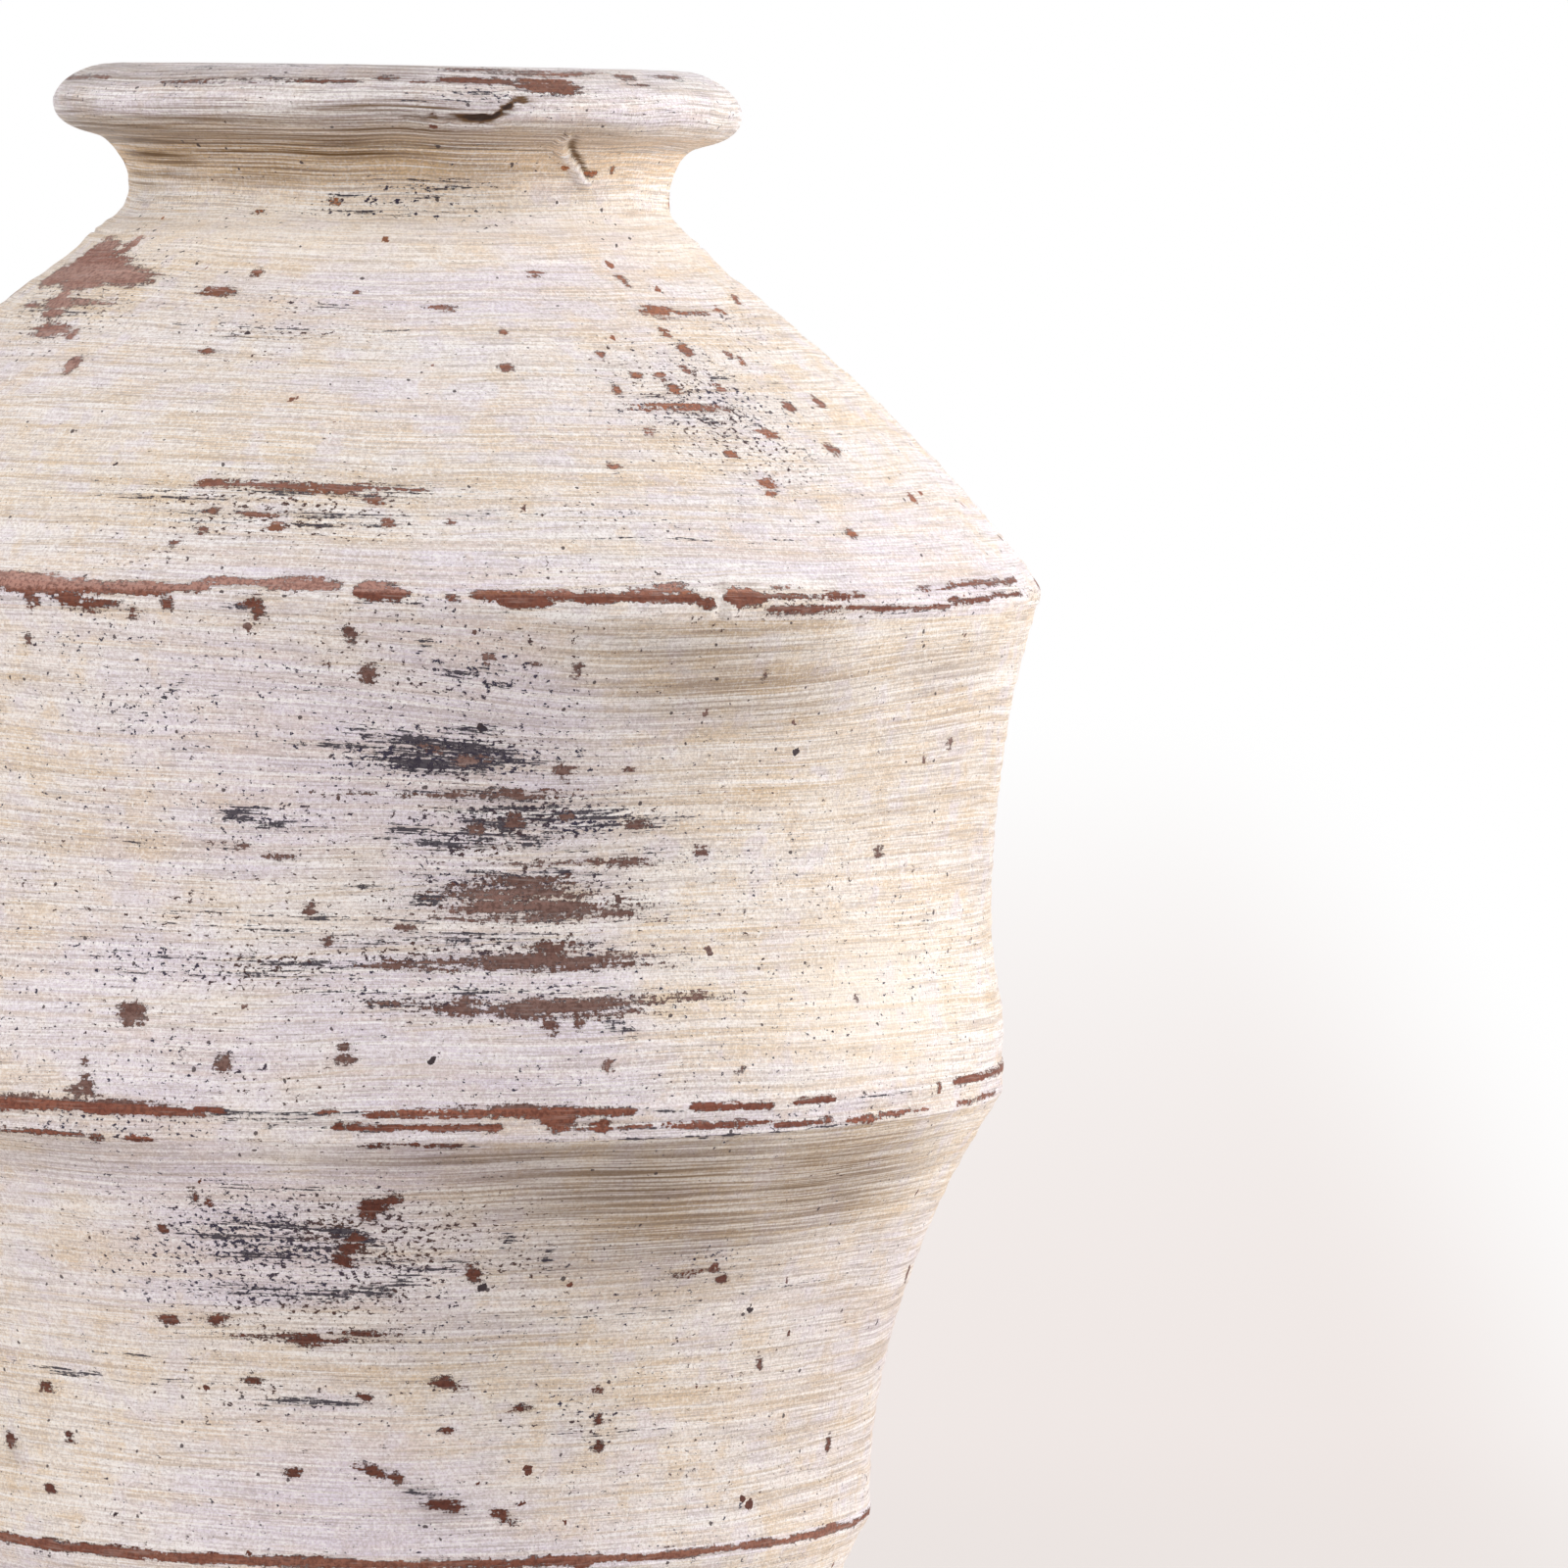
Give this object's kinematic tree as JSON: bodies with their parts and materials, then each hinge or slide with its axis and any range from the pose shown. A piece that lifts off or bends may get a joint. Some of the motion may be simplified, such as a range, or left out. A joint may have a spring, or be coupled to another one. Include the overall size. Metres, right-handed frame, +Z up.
{
  "type": "scalloped terracotta vase",
  "caption": "Tall limewashed terracotta vase with a scalloped, ridged body, a short neck and a rolled rim, built from stacked thrown walls.",
  "frame": {"origin": "centre of the foot ring's underside, on the ground", "axes": "+Z up along the vase's axis, out of the mouth; the vase is round, and -Y is the side that the picture shows"},
  "size_m": [0.3502, 0.3502, 0.5],
  "materials": {
    "terracotta": "bare fired clay, matt",
    "limewash": "brushed chalky limewash over fired clay, rubbed through in places",
    "worn_edge": "limewash rubbed through to the clay along the edges"
  },
  "bodies": {
    "root": {"foot_ring": "limewash", "floor_slab": "terracotta", "foot_wall": "limewash", "waist_wall": "limewash", "belly_wall": "limewash", "shoulder_wall": "limewash", "neck_collar": "limewash", "rim_roll": "limewash", "lower_cordon": "worn_edge", "middle_cordon": "worn_edge", "upper_cordon": "worn_edge", "floor_coil": "terracotta", "lower_coil": "terracotta", "middle_coil": "terracotta", "upper_coil": "terracotta"}
  },
  "joints": []
}
